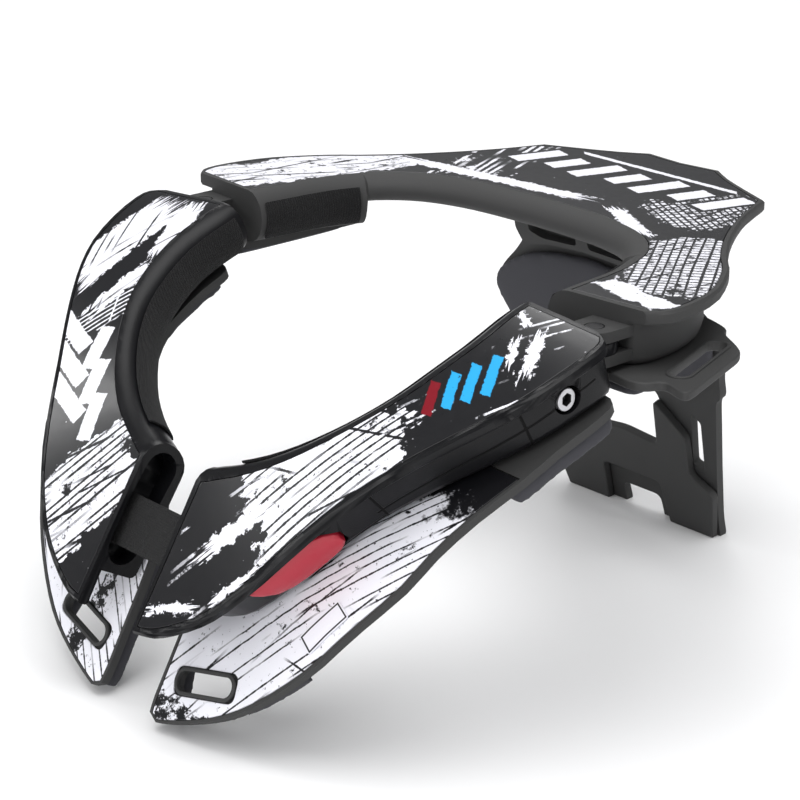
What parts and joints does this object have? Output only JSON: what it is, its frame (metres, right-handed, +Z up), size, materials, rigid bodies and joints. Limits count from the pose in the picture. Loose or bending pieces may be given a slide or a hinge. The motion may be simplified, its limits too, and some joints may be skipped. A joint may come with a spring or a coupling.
{
  "type": "motocross neck brace",
  "caption": "Rigid motocross neck brace: a rear yoke with a leaning back support, and hinged front shells with chest plates, foam pads and a side release button.",
  "frame": {"origin": "middle of the footprint on the floor, halfway between the left and right strap tabs and halfway between the front tip and the rear edge", "axes": "+Z up, -Y towards the front of the wearer (the chest plates), +X towards the wearer's left"},
  "size_m": [0.3018, 0.313, 0.158],
  "materials": {
    "moulded": "black moulded plastic, satin",
    "printed": "glossy printed film, black and white",
    "foam": "closed-cell foam, dark grey, matte",
    "velour": "black ribbed loop pile",
    "steel": "bright steel",
    "red": "red moulded plastic, half gloss"
  },
  "bodies": {
    "rear": {"rear_yoke": "moulded", "rear_top_panel": "printed", "left_rear_hook_strip": "velour", "right_rear_hook_strip": "velour", "left_hinge_pin": "steel", "right_hinge_pin": "steel", "left_shoulder_plate": "moulded", "right_shoulder_plate": "moulded", "left_shoulder_pad": "foam", "right_shoulder_pad": "foam", "back_support_plate": "moulded", "back_leg_frame": "moulded", "back_support_pad": "foam", "support_clamp": "moulded", "support_bracket": "moulded"},
    "left_front": {"left_front_shell": "moulded", "left_top_panel": "printed", "left_chest_plate": "moulded", "left_chest_panel": "printed", "left_rear_chest_pad": "foam", "left_front_chest_pad": "foam", "left_front_hook_strip": "velour", "left_clamp_screw": "steel"},
    "right_front": {"right_front_shell": "moulded", "right_top_panel": "printed", "right_chest_plate": "moulded", "right_chest_panel": "printed", "right_rear_chest_pad": "foam", "right_front_chest_pad": "foam", "right_front_hook_strip": "velour", "right_clamp_screw": "steel", "latch_tongue": "velour"},
    "release_button": {"release_button": "red"}
  },
  "joints": [
    {"name": "left_hinge", "type": "hinge", "parent": "rear", "child": "left_front", "pos_m": [0.112, -0.02, 0.145], "axis": [0, 0, 1], "range_deg": [0, 25]},
    {"name": "right_hinge", "type": "hinge", "parent": "rear", "child": "right_front", "pos_m": [-0.112, -0.02, 0.145], "axis": [0, 0, -1], "range_deg": [0, 25]},
    {"name": "button_press", "type": "slide", "parent": "left_front", "child": "release_button", "axis": [-0.7718, 0.4003, 0.494], "range_m": [0, 0.0025], "stiffness_N_per_m": 400}
  ]
}
